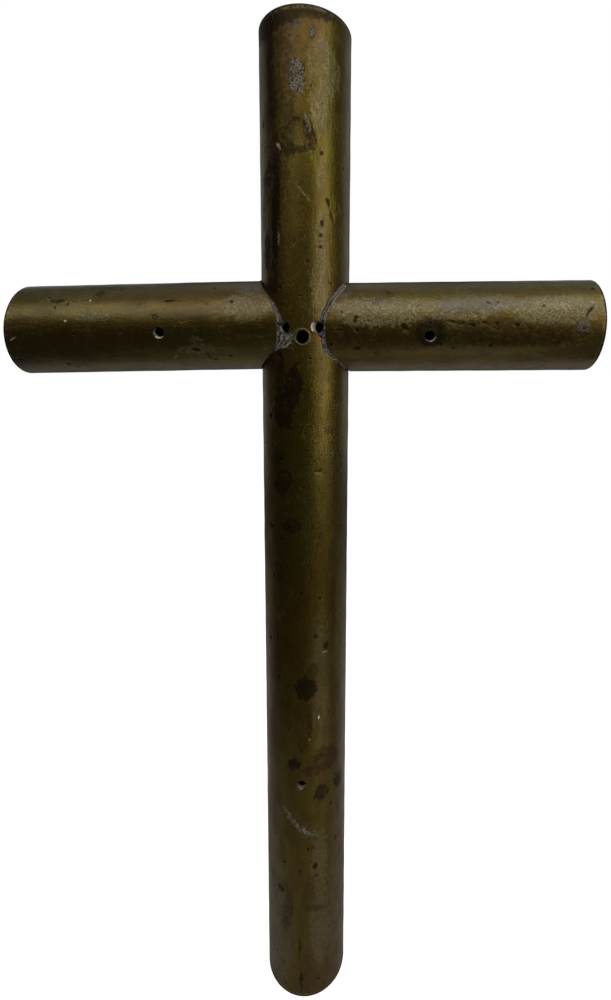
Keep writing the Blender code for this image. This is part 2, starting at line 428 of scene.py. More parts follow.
def drillRows(kind, hole):
    # a straight drill whose side flares to a rounded mouth at the surface
    diameter, along, angle, lean = hole[:4]
    centre, out = holeAxis(kind, along, angle)
    aside = holeAxis(kind, along, angle + 90.0)[1]
    rise, fall = quarter(drill["mouthSteps"])
    radius, mouth, over = 0.5 * diameter, drill["mouth"], drill["over"]
    point, widest = drill["point"], radius + mouth + over
    radii = np.concatenate([[point, radius], radius + mouth * (1.0 - fall), [widest, point]])
    depths = np.concatenate([[-drill["depth"]] * 2, -mouth * (1.0 - rise), [over] * 2])
    side = np.cross(out, [0.0, 0.3, 1.0])
    side /= np.linalg.norm(side)
    other = np.cross(out, side)
    turn = np.linspace(0.0, 2.0 * math.pi, drill["sides"], endpoint=False)[None, :, None]
    ring = np.cos(turn) * side + np.sin(turn) * other
    slide = np.minimum(depths, 0.0) * math.tan(math.radians(lean))
    path = centre + depths[:, None, None] * out + slide[:, None, None] * aside
    return path + radii[:, None, None] * ring


def aroundHole(kind, hole, points):
    # depth of points in a hole, their distance from its middle line, and the direction (0 right, 90 up)
    _, along, angle, lean = hole[:4]
    centre, out = holeAxis(kind, along, angle)
    aside = holeAxis(kind, along, angle + 90.0)[1]
    relative = points - centre
    depth = -relative @ out
    slide = np.maximum(depth, 0.0) * math.tan(math.radians(lean))
    flat = relative + depth[:, None] * out + slide[:, None] * aside
    return depth, np.linalg.norm(flat, axis=1), np.arctan2(flat[:, 2], flat[:, 0])


def drillBody(kind, hole):
    rows = drillRows(kind, hole)
    count, wide = rows.shape[:2]
    index = np.arange(count * wide).reshape(count, wide)
    side = np.stack([index[:-1], np.roll(index[:-1], -1, 1), np.roll(index[1:], -1, 1), index[1:]], axis=-1)
    return rows.reshape(-1, 3), side.reshape(-1, 4).tolist() + [index[0].tolist(), index[-1].tolist()]


def cutHoles(piece, kind, holes):
    # takes the drills out of a piece and leaves a plain mesh
    for hole in holes:
        points, faces = drillBody(kind, hole)
        mesh = bpy.data.meshes.new("drill")
        mesh.from_pydata(points.tolist(), [], faces)
        cutter = addPiece("drill", mesh)
        bpy.context.view_layer.objects.active = cutter
        cutter.select_set(True)
        bpy.ops.object.mode_set(mode="EDIT")
        bpy.ops.mesh.select_all(action="SELECT")
        bpy.ops.mesh.normals_make_consistent(inside=False)
        bpy.ops.object.mode_set(mode="OBJECT")
        cut = piece.modifiers.new("hole", "BOOLEAN")
        cut.operation = "DIFFERENCE"
        cut.solver = "EXACT"
        cut.object = cutter
        graph = bpy.context.evaluated_depsgraph_get()
        mesh = bpy.data.meshes.new_from_object(piece.evaluated_get(graph))
        piece.modifiers.clear()
        piece.data = mesh
        bpy.data.objects.remove(cutter)


# What each kind of mark does: depth in mm, raised where negative, and how much it feeds each finish;
# soft blurs its border, smooth keeps the border even, rim clears its middle, crumble roughens it
markKinds = {
    "stain": {"dark": 0.85},
    "ringed": {"dark": 0.95, "rim": 1.0},
    "tarnish": {"dark": 0.62, "red": 0.45, "smooth": 1.0},
    # painted shade in long strips down the darker sides of the tubes, dark patches in small ones
    "shade": {"dark": 0.55, "soft": 1.0},
    "smoke": {"dark": 1.0, "soft": 1.0},
    "rust": {"dark": 0.65, "red": 1.0},
    "blush": {"red": 0.8, "soft": 1.0},
    "pit": {"depth": 0.22, "dark": 1.0},
    "chip": {"depth": 0.10, "bare": 0.55},
    "fleck": {"depth": 0.02, "bare": 0.8},
    "crust": {"depth": -0.08, "pale": 1.0, "crumble": 1.0},
    # painted highlight in long strips down the lit sides of the tubes, and worn patina in small patches
    "wearAndHighlight": {"worn": 1.0, "crumble": 0.25, "soft": 1.0},
    "verdigris": {"dark": 0.7, "green": 0.9, "crumble": 0.3},
    # tin, and on the right arm a strip of painted highlight along its lit top
    "tinAndHighlight": {"grey": 1.0, "crumble": 0.15, "soft": 0.5},
    "dent": {"depth": 0.20},
}

# marks by kind: mm from the crossing, degrees from the front, half length, half width, turn, strength
upright["marks"] = {
    # the long strips are painted shade down the tube's darker left side, the small marks dark patches
    "shade": [
        (62, -26, 34, 6.5, 2, 0.9), (66, -6, 14, 3, -4, 0.35), (-30, -24, 46, 6, 0, 0.35),
        (-128, -10, 26, 5, 0, 0.55), (88.4, -14, 2.4, 5, 0, 0.9), (-119, 14, 4, 3, 0, 0.9),
        (-138, 10, 8, 1.2, 0, 0.9), (-204, -48, 0.9, 1.2, 0, 1), (-229.4, -4, 7, 0.6, 0, 1),
        (-216, -22, 9, 2.6, 6, 0.9), (-238, -12, 0.9, 1.6, 30, 0.8),
    ],
    # the long strips at 14 to 26 degrees are painted highlight down the tube's lit right side, the rest worn
    # patina
    "wearAndHighlight": [
        (-62, 14, 36, 4.2, 0, 0.3), (-122, 26, 30, 3.6, 0, 0.5), (76, 40, 5.4, 3, -20, 1),
        (70.5, 32, 3.6, 3.4, 25, 0.9), (78, 20, 7, 3.4, 10, 0.8), (64, 22, 7, 3, 0, 0.8),
        (57.6, -3, 2.6, 1.8, 0, 0.3), (54, -48, 5, 2.4, 8, 0.8), (45, 24, 5.5, 1.3, 4, 0.8),
        (39.5, 2, 4.6, 0.5, -40, 0.6), (12, 22, 9, 2.6, 0, 1), (26, 24, 9, 2, 0, 0.9),
        (-194.6, 24, 14, 3.4, 0, 0.9), (-222, 26, 16, 4, 0, 0.9), (-210.4, 22, 1.2, 4, 12, 0.7),
        (-236.4, -3, 1, 1, 0, 0.4),
    ],
    "rust": [
        (-52, -26, 5, 3.4, 20, 0.6), (-67, -12, 3, 3, 0, 0.5), (-44, -36, 3, 3, 0, 0.5),
        (-84, -34, 5, 2, 0, 0.5), (-96, 46, 12, 1.6, 0, 0.4), (80, -40, 12, 1.5, 0, 0.9),
        (66, -38, 5, 2.2, 0, 0.7), (36, -33, 22, 1.7, 2, 1), (26, -33, 4.6, 1, 0, 0.9),
        (14, -40, 5, 2.6, 0, 0.7), (-20.7, -11, 7.4, 3.2, 4, 0.9), (-29, -24, 6, 4, 0, 0.7),
        (-110.4, 33, 1.5, 1.1, 0, 1), (-153.4, 36, 4.6, 6.4, 30, 0.55), (-157, 16, 2.4, 4.6, 0, 0.5),
        (-213.6, 22, 1.5, 5.4, 12, 0.5),
    ],
    "stain": [
        (-67.5, -18, 1.6, 2.8, 20, 0.6), (52.6, -16, 2.2, 4.2, 14, 0.8), (51.8, 4, 0.8, 4.4, -10, 0.8),
        (46, -46, 4.6, 2.4, 24, 0.8), (36, -56, 8, 2, 12, 0.6), (-18, -28, 9, 2, 0, 0.7),
        (-125.3, 6, 4.4, 3.8, 0, 0.9), (-147, 2, 3, 2.2, 0, 0.5), (-154.3, -11, 2.3, 2.4, 0, 0.8),
        (-166.4, 27, 3.6, 3, 10, 0.75), (-165.1, 56, 3.4, 2.6, 0, 0.8), (-207.2, -33, 1.8, 1.5, 0, 0.8),
        (-243.3, -2, 4.6, 0.8, 0, 0.8),
    ],
    "smoke": [
        (91.6, -40, 5.4, 13, -4, 1), (92.2, 22, 3.6, 13, -6, 0.75), (93, 0, 2.4, 12, -4, 0.9),
    ],
    "tinAndHighlight": [
        (91.6, 10, 0.5, 2.6, -8, 0.9), (91, 26, 0.7, 3, -24, 1), (90, 32, 0.4, 2.2, -30, 0.9),
        (87.6, -4, 1.8, 2, 0, 0.6), (59.3, 8, 2.8, 0.7, -14, 0.8), (-180, 12, 3, 3.2, 30, 0.4),
        (-226, -42, 24, 8, 0, 0.5), (-222, 34, 20, 8, 0, 0.35),
    ],
    "crust": [
        (85.2, 14, 1.9, 0.9, 8, 0.9), (71.2, -4, 2.9, 2.5, 10, 1), (75.6, -6, 2.4, 2.4, 0, 0.7),
        (26.6, -29, 3.6, 0.5, 0, 0.7), (-173.2, -26, 1, 1.3, 48, 0.6), (-175.2, -20, 1.2, 1.5, 48, 0.9),
        (-177.4, -12, 1, 1.9, 42, 1), (-179.7, -2, 1.1, 1.8, 34, 1), (-181.9, 5, 1.3, 1.5, 20, 1),
        (-182.2, 17, 1.6, 1.3, 8, 0.6),
    ],
    "pit": [
        (75, 4, 1.8, 0.4, -12, 0.8), (57.6, 14, 4.8, 0.3, -20, 0.9), (61.9, -56, 1.2, 0.6, 0, 0.9),
        (37, 35, 1.8, 0.7, -24, 0.8), (34, 39, 1.3, 0.6, -18, 0.7), (30.6, 26, 1.5, 0.6, 8, 0.9),
        (32.6, 42, 0.6, 0.5, 0, 0.6), (19, 7, 0.5, 0.7, 20, 0.8), (24.8, -8, 0.7, 0.35, 0, 0.8),
        (-30.1, -44, 0.8, 1, 0, 0.9), (-48.3, 21, 0.4, 1.6, 4, 0.8), (-53.6, -34, 0.8, 0.9, 0, 0.8),
        (-68, -45, 0.9, 1.2, 0, 0.9), (-61.3, -20, 0.5, 0.5, 0, 0.7), (-71, 23, 0.5, 0.5, 0, 0.7),
        (-80.4, 8, 0.5, 0.4, 0, 0.7), (-90.2, -1, 0.7, 0.5, 0, 0.8), (-85.5, -41, 0.7, 0.6, 0, 0.8),
        (-106.2, -34, 0.8, 0.5, 0, 0.8), (-109.3, -49, 0.7, 0.9, 0, 0.8),
        (-122.4, -33, 0.9, 0.5, 10, 0.8), (-106, 18, 0.8, 0.8, 0, 0.8), (-172.4, 42, 0.7, 0.7, 0, 0.8),
        (-188.2, 52, 0.8, 0.9, 0, 0.9), (-188.2, 7, 0.7, 0.8, 0, 0.7), (-188, 14, 0.6, 0.8, 0, 0.7),
        (-195.4, 18, 1.1, 1, 0, 1), (-199.6, 19, 0.7, 0.8, 0, 0.8), (-197, -3, 0.7, 0.6, 0, 0.7),
        (-204.8, 37, 0.7, 0.7, 0, 0.7),
    ],
    "ringed": [
        (56.2, -5, 5.2, 4.6, 0, 0.75),
    ],
    "blush": [
        (55.6, 12, 3.4, 1.8, -18, 0.9), (-35.1, 36, 1.6, 2.2, 0, 0.7),
    ],
    "dent": [
        (56.6, 0, 4.4, 4.2, 0, 0.6),
    ],
    "chip": [
        (53.9, -28, 1.7, 0.7, -38, 0.9),
    ],
    "fleck": [
        (46.4, -44, 0.8, 0.4, 30, 0.5), (-33.9, 19, 0.4, 0.4, 0, 0.5), (-38.9, 25, 0.4, 0.4, 0, 0.4),
        (-42.4, 41, 0.4, 0.4, 0, 0.5), (-112.4, 31, 0.5, 1.1, 12, 0.6), (-136.6, 23, 0.5, 0.4, 0, 1),
        (-144.6, 10, 0.7, 0.6, 0, 0.4),
    ],
    "verdigris": [
        (23, -49, 6.5, 1.8, 0, 1),
    ],
}
leftArm["marks"] = {
    "tinAndHighlight": [
        (81.5, 36, 3.6, 1, 2, 0.8), (17, 48, 4.3, 2.8, 0, 0.9),
    ],
    "pit": [
        (83, 40, 0.6, 0.5, 0, 0.8), (76.3, 29, 0.5, 0.5, 0, 0.9), (60, 53, 1.2, 0.6, 0, 0.7),
        (95.3, -43, 0.6, 0.6, 0, 0.9), (79.8, -53, 0.9, 0.8, 0, 0.7), (75.9, -46, 0.6, 0.5, 0, 0.7),
        (42.6, 30, 2.6, 0.32, -3, 1), (39.4, 30, 0.6, 0.25, 0, 0.8), (34.8, -33, 1.5, 0.8, 0, 0.9),
        (29.3, -49, 0.9, 0.7, 0, 0.8), (24.2, -44, 0.5, 0.45, 0, 0.8),
    ],
    "stain": [
        (80, 34, 3, 0.9, 4, 0.8), (47.1, 9, 1.2, 1, 0, 0.7), (40.1, -10, 1.3, 1.4, 0, 0.6),
    ],
    # the strip below the front is painted shade, the rest small dark patches
    "shade": [
        (66.4, 45, 1.6, 1.8, 30, 1), (49, -18, 5.6, 1, 0, 0.6), (31.2, -42, 0.5, 2, -20, 1),
        (30.7, 25, 2, 0.3, 28, 1), (62.9, -37, 2.6, 2.1, 0, 0.7),
    ],
    # those above the front are painted highlight on the arm's lit top, those below it worn patina
    "wearAndHighlight": [
        (66.7, 10, 5.4, 1.7, 0, 0.7), (33.8, -23, 2.8, 1.4, 24, 1), (34.6, -33, 6.4, 1.6, 0, 0.9),
        (17.5, 20, 8, 5.2, 0, 1), (14, 24, 4.8, 4, 0, 0.6), (12, -32, 1, 1.3, 0, 0.8),
    ],
    "fleck": [
        (76.4, 6, 0.45, 0.4, 0, 0.9), (68.9, 33, 0.45, 0.4, 0, 0.8), (94.4, -14, 1.6, 0.4, -30, 0.7),
        (47.1, 9, 0.5, 0.5, 0, 0.35), (42.2, -43, 0.8, 1.1, 30, 0.5),
    ],
    "blush": [
        (51.8, 31, 3, 3.2, 0, 0.5),
    ],
    "verdigris": [
        (17.7, -55, 4.6, 3.6, 0, 0.3),
    ],
}
rightArm["marks"] = {
    # the long strips below the front are painted shade on the arm's darker lower side, the small marks dark
    # patches
    "shade": [
        (64, -15, 34, 4.2, 0, 0.9), (30, -24, 20, 3, 0, 0.7), (62, -10, 9, 0.7, 0, 0.9),
        (24.1, -37, 1.3, 1.2, 0, 0.8), (27.9, 41, 1.3, 1.6, 0, 0.9),
    ],
    # the long strip at 24 degrees up is painted highlight along the arm's lit top, the rest is tin
    "tinAndHighlight": [
        (13.5, 50, 2.6, 3.6, 10, 0.9), (24.7, 27, 2, 1.5, 0, 0.8), (42.4, 5, 5.4, 0.5, 12, 0.8),
        (55.2, 24, 15, 3.6, 0, 0.55), (88.4, -4, 2.3, 2.6, 0, 0.8),
    ],
    # the strips above the front are painted highlight along the arm's lit top, the small mark below it worn
    # patina
    "wearAndHighlight": [
        (26, 16, 14, 5, 0, 1), (17, 16, 6, 5, 0, 0.8), (50, 14, 14, 3, 0, 0.7), (80, 16, 14, 5, 0, 1),
        (83.3, -27, 1.5, 1.5, 0, 0.5),
    ],
    "pit": [
        (17.2, 5, 0.7, 1.3, -16, 1), (17.7, -7, 0.6, 0.7, 0, 0.9), (21.3, 4, 0.6, 0.7, 20, 0.5),
        (32.5, -4, 1.1, 1.4, 24, 0.9), (44.3, -24, 0.7, 0.6, 0, 0.9), (47.6, 2, 1.5, 0.5, -10, 0.7),
        (50.6, 0, 1.2, 0.5, 10, 0.7), (54, -2, 1.1, 0.6, -12, 0.8), (57.8, 0, 1.1, 0.5, 0, 0.7),
        (61.6, -1, 0.9, 0.8, 0, 0.7), (67.8, -3, 0.9, 0.6, 0, 1), (90.6, 14, 0.5, 2, -38, 0.8),
        (88.6, -8, 0.8, 0.7, 0, 0.6), (48.6, -30, 0.7, 0.7, 0, 0.6), (94, -44, 0.6, 0.8, 0, 0.7),
        (59.3, 26, 1.3, 0.5, -26, 0.6), (62.4, 26, 0.5, 0.5, 0, 0.6),
    ],
    "tarnish": [
        (41.2, -11, 5.2, 4.6, 0, 1),
    ],
    "ringed": [
        (88.4, -4, 2.6, 2.6, 0, 0.5),
    ],
    "rust": [
        (82, -20, 4.8, 2, 0, 0.35), (18, -30, 1.6, 0.6, 0, 0.8),
    ],
}

finishes = ("dark", "pale", "worn", "red", "green", "grey", "bare")


def tubePlaces(kind, points):
    # each point's distance along its tube, radius and angle round it from the front
    if kind is upright:
        relative = points - crossing
        return relative[:, 2], np.hypot(points[:, 0], points[:, 1]), np.arctan2(points[:, 0], -points[:, 1])
    axis, up, back, start = armFrame(kind)
    relative = points - start
    height, depth = relative @ up, relative @ back
    return relative @ axis, np.hypot(height, depth), np.arctan2(height, -depth)


# how the marks and the wear lie on the wall, with the painted shadow and glints at the holes and the painted
# shade and highlight along the sawn ends
wearAndShading = {
    "fade": (0.6 * mm, 0.1 * mm),  # depths below the outer wall between which marks fade out
    "ragged": 1.6 * mm,  # size of the waves in the border of a mark
    "rag": (0.28, 0.75),  # how ragged a border is: at most, and in mm on small marks
    "crumbs": (0.8 * mm, 1.9 * mm),  # sizes of the crumbs in crusts
    "crumble": 0.09 * mm,
    "wave": (0.035 * mm, 11.0 * mm, 0.01 * mm),  # height and length of the wall's waves, and their depth
    "soft": 0.45,
    "bowl": 1.3,
    "clearMiddle": (0.55, 0.85, 0.8),  # where a ring's middle starts and ends, and how clear it is
    "most": 0.13 * mm,  # the most that a mark stands out of the wall
    "keepOff": (0.1 * mm, 0.5 * mm),  # marks stay off the mouth of a hole by this much
    "bored": (0.15 * mm, 3.2 * mm),  # depths between which the side of a hole is bright
    "glint": (0.45, 0.9),
    "ring": (0.10 * mm, 0.16 * mm, 0.12 * mm),  # height of a raised ring, its width, its way from the mouth
    "uneven": 0.15 * mm,
    # painted shade in a dark line along each sawn end, and painted highlight in the lighter band beside it
    "rimShade": (0.45 * mm, 0.75 * mm),  # dark line at a sawn end
    "rimHighlight": (0.6 * mm, 0.8 * mm, 1.0 * mm, 1.5 * mm),  # the lighter band beside it
    "bore": (0.05 * mm, 0.35 * mm),
}


def markField(along, angle, mark, ragged):
    # 0 in the middle of a mark, 1 at its border and more outside, as in an ellipse
    at, turn, halfLong, halfWide, lean, _ = mark
    wide = np.angle(np.exp(1j * (angle - math.radians(turn)))) * tube["radius"]
    long = along - at * mm
    cosine, sine = math.cos(math.radians(lean)), math.sin(math.radians(lean))
    u = (long * cosine + wide * sine) / (halfLong * mm)
    v = (wide * cosine - long * sine) / (halfWide * mm)
    return np.sqrt(u * u + v * v) + min(wearAndShading["rag"][0], wearAndShading["rag"][1] / min(halfLong, halfWide)) * ragged


def layMarks(kind, along, angle, ragged, crumbs):
    # how far all marks push the wall out, added up, and the largest share that they give each finish
    push = np.zeros(along.shape)
    masks = {name: np.zeros(along.shape) for name in finishes}
    inner, outer, clear = wearAndShading["clearMiddle"]
    for label, marks in kind["marks"].items():
        effect = markKinds[label]
        for mark in marks:
            strength = mark[5]
            distance = markField(along, angle, mark, ragged * (1.0 - effect.get("smooth", 0.0)))
            crisp = min(wearAndShading["soft"], wearAndShading["soft"] / min(mark[2], mark[3]))
            soft = crisp + (wearAndShading["soft"] - crisp) * effect.get("soft", 0.0)
            inside = 1.0 - smoothStep(1.0 - soft, 1.0 + soft, distance)
            middle = 1.0 - smoothStep(inner, outer, distance)
            inside = inside * (1.0 - clear * effect.get("rim", 0.0) * middle)
            bowl = np.clip(1.0 - distance * distance, 0.0, 1.0) ** wearAndShading["bowl"]
            push = push - effect.get("depth", 0.0) * mm * bowl * strength
            push = push + effect.get("crumble", 0.0) * wearAndShading["crumble"] * crumbs * inside * strength
            for name in set(finishes) & set(effect):
                masks[name] = np.maximum(masks[name], inside * effect[name] * strength)
    return push, masks


def layHoles(kind, points, masks):
    # how clear of the holes each point is, their bright sides with painted glints, the painted shadow in
    # their mouths, and the raised rings round them
    near = np.full(len(points), 1.0)
    wall = np.zeros(len(points))
    raised = np.zeros(len(points))
    shallow, deepest = wearAndShading["bored"]
    for hole in kind["holes"]:
        diameter, glintAt, glint, ring = hole[0], math.radians(hole[4]), hole[5], hole[6]
        depth, across, direction = aroundHole(kind, hole, points)
        rim = 0.5 * diameter + drill["mouth"]
        near = np.minimum(near, smoothStep(rim - wearAndShading["keepOff"][0], rim + wearAndShading["keepOff"][1], across))
        mouth = (depth < deepest) & (depth > -1.0 * mm) & (across < rim - 0.08 * mm)
        bored = (across < 0.5 * diameter + 0.06 * mm) & (depth > shallow) & (depth < deepest)
        # a painted glint lightens one side of each mouth, and painted shadow darkens the rest of it
        crescent = smoothStep(*wearAndShading["glint"], np.cos(direction - glintAt)) * mouth * glint
        wall = np.maximum(wall, np.maximum(0.5 * bored, crescent))
        shadow = 0.8 * mouth * (1.0 - bored) * (1.0 - crescent) * (1.0 - ring)
        masks["dark"] = np.maximum(masks["dark"], shadow)
        _, width, away = wearAndShading["ring"]
        band = np.exp(-(((across - rim - away) / width) ** 2)) * (np.abs(depth) < 1.0 * mm)
        raised = np.maximum(raised, band * ring)
    return near, wall, raised


def wallPlaces(kind, points, along, radius, angle):
    # the direction out of the tube at each point, and its distance in from the sawn ends
    slopes = [math.tan(math.radians(cut)) for cut in kind["cut"]]
    if kind is upright:
        out = points * np.array([1.0, 1.0, 0.0])
        sawn = kind["top"] + slopes[0] * points[:, 0] + slopes[1] * points[:, 1] - points[:, 2]
        ends = np.minimum(points[:, 2], sawn)
    else:
        axis, _, _, start = armFrame(kind)
        out = points - start - along[:, None] * axis
        slant = slopes[0] * radius * np.sin(angle) - slopes[1] * radius * np.cos(angle)
        ends = kind["length"] + slant - along
    return out / np.maximum(np.linalg.norm(out, axis=1), 1e-6)[:, None], ends


def weatherAndShading(piece, kind, seed):
    # moves the outer wall for pits, chips and crusts, and stores the finishes that the materials read,
    # painted shade, shadow, highlights and glints among them
    mesh = piece.data
    points = np.empty(len(mesh.vertices) * 3)
    mesh.vertices.foreach_get("co", points)
    points = points.reshape(-1, 3)
    along, radius, angle = tubePlaces(kind, points)
    outside = smoothStep(tube["radius"] - wearAndShading["fade"][0], tube["radius"] - wearAndShading["fade"][1], radius)
    ragged = waveNoise(points, wearAndShading["ragged"], seed)
    small, large = wearAndShading["crumbs"]
    crumbs = waveNoise(points, small, seed + 1) + 0.6 * waveNoise(points, large, seed + 2)
    push, masks = layMarks(kind, along, angle, ragged, crumbs)
    near, wall, raised = layHoles(kind, points, masks)
    out, ends = wallPlaces(kind, points, along, radius, angle)
    high, long, deep = wearAndShading["wave"]
    push = push + high * waveNoise(points, long, seed + 3) - deep
    push = np.minimum(push, wearAndShading["most"]) * outside * near + wearAndShading["ring"][0] * raised
    # the bright sides of the holes, with their painted glints, join the bare metal
    masks["bare"] = np.maximum(masks["bare"] * outside, np.maximum(wall, 0.12 * raised))
    masks["grey"] = np.maximum(masks["grey"], raised)
    ends = ends + wearAndShading["uneven"] * ragged
    # painted shade along each sawn end, and painted highlight in the band beside it
    masks["dark"] = np.maximum(masks["dark"], 1.0 - smoothStep(*wearAndShading["rimShade"], ends))
    masks["edge"] = smoothStep(*wearAndShading["rimHighlight"][:2], ends) * (1.0 - smoothStep(*wearAndShading["rimHighlight"][2:], ends))
    masks["inner"] = 1.0 - smoothStep(boreRadius + wearAndShading["bore"][0], boreRadius + wearAndShading["bore"][1], radius)
    mesh.vertices.foreach_set("co", (points + out * push[:, None]).reshape(-1))
    for name, values in masks.items():
        layer = mesh.attributes.new(name, "FLOAT", "POINT")
        layer.data.foreach_set("value", values.astype(np.float32))
    mesh.update()


def smoothShade(piece, limit=38.0):
    piece.data.shade_smooth()
    piece.data.set_sharp_from_angle(angle=math.radians(limit))


# Shader helpers
def put(tree, kind, inputs=None, **settings):
    node = tree.nodes.new(kind)
    for name, value in settings.items():
        setattr(node, name, value)
    for name, value in (inputs or {}).items():
        if isinstance(value, bpy.types.NodeSocket):
            tree.links.new(value, node.inputs[name])
        else:
            node.inputs[name].default_value = value
    return node


def maths(tree, operation, first, second=0.0, clamp=False):
    node = put(tree, "ShaderNodeMath", {0: first, 1: second}, operation=operation)
    node.use_clamp = clamp
    return node.outputs[0]


def remap(tree, value, low, high, outLow=0.0, outHigh=1.0):
    inputs = {"Value": value, "From Min": low, "From Max": high, "To Min": outLow, "To Max": outHigh}
    node = put(tree, "ShaderNodeMapRange", inputs, interpolation_type="SMOOTHSTEP")
    return node.outputs["Result"]


def blendColour(tree, factor, first, second):
    node = put(tree, "ShaderNodeMix", data_type="RGBA", blend_type="MIX")
    for socket, value in zip((node.inputs[0], node.inputs[6], node.inputs[7]), (factor, first, second)):
        if isinstance(value, bpy.types.NodeSocket):
            tree.links.new(value, socket)
        else:
            socket.default_value = value if socket is node.inputs[0] else (*value, 1.0)
    return node.outputs[2]


def noise(tree, vector, size, detail=4.0, roughness=0.55, distortion=0.0):
    return put(tree, "ShaderNodeTexNoise", {
        "Vector": vector, "Scale": 1.0 / size,
        "Detail": detail, "Roughness": roughness, "Distortion": distortion,
    }).outputs["Fac"]


def attribute(tree, name):
    return put(tree, "ShaderNodeAttribute", attribute_name=name).outputs["Fac"]


def newGroup(name, inputs, outputs):
    # a node group with named sockets; inputs and outputs are (name, socket type) pairs
    tree = bpy.data.node_groups.new(name, "ShaderNodeTree")
    for label, kind in inputs:
        tree.interface.new_socket(label, in_out="INPUT", socket_type=kind)
    for label, kind in outputs:
        tree.interface.new_socket(label, in_out="OUTPUT", socket_type=kind)
    return tree, tree.nodes.new("NodeGroupInput").outputs, tree.nodes.new("NodeGroupOutput").inputs


def mottleGroup():
    # cloudy patina at three sizes, drawn out along the tube by the stretch of its vector
    tree, given, result = newGroup(
        "mottle",
        [("Vector", "NodeSocketVector")],
        [("Broad", "NodeSocketFloat"), ("Cloud", "NodeSocketFloat"), ("Grain", "NodeSocketFloat")],
    )
    broad = noise(tree, given["Vector"], 22.0 * mm, 3.0, 0.5, 0.4)
    cloud = noise(tree, given["Vector"], 4.2 * mm, 5.0, 0.62, 0.3)
    grain = noise(tree, given["Vector"], 0.9 * mm, 4.0, 0.65)
    tree.links.new(remap(tree, broad, 0.32, 0.68), result["Broad"])
    tree.links.new(remap(tree, cloud, 0.36, 0.64), result["Cloud"])
    tree.links.new(remap(tree, grain, 0.30, 0.70), result["Grain"])
    return tree


def markGroup():
    # the stored marks with their soft rims made crisp and ragged by the grain
    tree, given, result = newGroup(
        "marks",
        [("Vector", "NodeSocketVector"), ("Stored", "NodeSocketFloat")],
        [("Mask", "NodeSocketFloat")],
    )
    ragged = noise(tree, given["Vector"], 1.6 * mm, 7.0, 0.75)
    shift = maths(tree, "MULTIPLY", maths(tree, "SUBTRACT", ragged, 0.5), 0.9)
    moved = maths(tree, "ADD", given["Stored"], shift)
    crisp = remap(tree, moved, 0.18, 0.78)
    tree.links.new(maths(tree, "MULTIPLY", crisp, remap(tree, given["Stored"], 0.02, 0.30)), result["Mask"])
    return tree


def pitGroup():
    # scattered small pits: dark dots where a cell's random value is high
    tree, given, result = newGroup(
        "pits",
        [("Vector", "NodeSocketVector"), ("Cell", "NodeSocketFloat")],
        [("Mask", "NodeSocketFloat")],
    )
    scale = maths(tree, "DIVIDE", 1.0, given["Cell"])
    cells = put(tree, "ShaderNodeTexVoronoi", {"Vector": given["Vector"], "Scale": scale, "Randomness": 1.0})
    pick = put(tree, "ShaderNodeSeparateColor", {"Color": cells.outputs["Color"]})
    chosen = remap(tree, pick.outputs[0], 0.80, 0.86)
    reach = maths(tree, "ADD", maths(tree, "MULTIPLY", pick.outputs[1], 0.22), 0.08)
    dot = maths(tree, "SUBTRACT", 1.0, maths(tree, "DIVIDE", cells.outputs["Distance"], reach), clamp=True)
    tree.links.new(maths(tree, "MULTIPLY", remap(tree, dot, 0.0, 0.5), chosen), result["Mask"])
    return tree


def scratchGroup():
    # fine scratches round and along the tube: thin bright lines in stretched noise
    tree, given, result = newGroup(
        "scratches",
        [("Vector", "NodeSocketVector"), ("Stretch", "NodeSocketVector")],
        [("Mask", "NodeSocketFloat")],
    )
    moved = put(tree, "ShaderNodeVectorMath", {0: given["Vector"], 1: given["Stretch"]}, operation="MULTIPLY")
    lines = noise(tree, moved.outputs[0], 1.4 * mm, 2.0, 0.5)
    thin = maths(tree, "ABSOLUTE", maths(tree, "SUBTRACT", lines, 0.5))
    patches = remap(tree, noise(tree, given["Vector"], 7.0 * mm, 2.0), 0.50, 0.66)
    line = maths(tree, "SUBTRACT", 1.0, remap(tree, thin, 0.004, 0.016))
    tree.links.new(maths(tree, "MULTIPLY", line, patches), result["Mask"])
    return tree


groups = {"mottle": mottleGroup(), "marks": markGroup(), "pits": pitGroup(), "scratches": scratchGroup()}
print("shared node groups made")


def useGroup(tree, name, inputs):
    node = tree.nodes.new("ShaderNodeGroup")
    node.node_tree = groups[name]
    for label, value in inputs.items():
        if isinstance(value, bpy.types.NodeSocket):
            tree.links.new(value, node.inputs[label])
        else:
            node.inputs[label].default_value = value
    return node.outputs


bronze = {
    "olive": (0.142, 0.116, 0.010),
    "brown": (0.140, 0.084, 0.010),
    "umber": (0.080, 0.043, 0.008),
    "khaki": (0.275, 0.238, 0.110),
    "stainAndShade": (0.020, 0.012, 0.004),
    "rust": (0.070, 0.030, 0.014),
    "inside": (0.062, 0.034, 0.016),
    "verdigris": (0.020, 0.032, 0.020),
    "tinAndHighlight": (0.185, 0.165, 0.138),
    "crust": (0.300, 0.270, 0.190),
    "gap": (0.050, 0.036, 0.015),
    "bright": (0.780, 0.720, 0.580),
    "metallic": 0.92,
    "roughness": 0.27,
    "coatRoughness": 0.27,
    "bump": 0.12 * mm,
}
upright["look"] = {
    "stretch": (1.0, 1.0, 0.30), "shift": (0.0, 0.0, 0.0), "coat": 0.14, "worn": 0.6, "speckle": 0.22,
}
leftArm["look"] = {
    "stretch": (0.30, 1.0, 1.0), "shift": (0.31, 0.17, 0.05), "coat": 0.50, "worn": 0.8, "speckle": 0.42,
}
rightArm["look"] = {
    "stretch": (0.30, 1.0, 1.0), "shift": (0.07, 0.41, 0.23), "coat": 0.50, "worn": 1.0, "speckle": 0.48,
}


def scaled(tree, value, factor):
    return maths(tree, "MULTIPLY", value, factor)


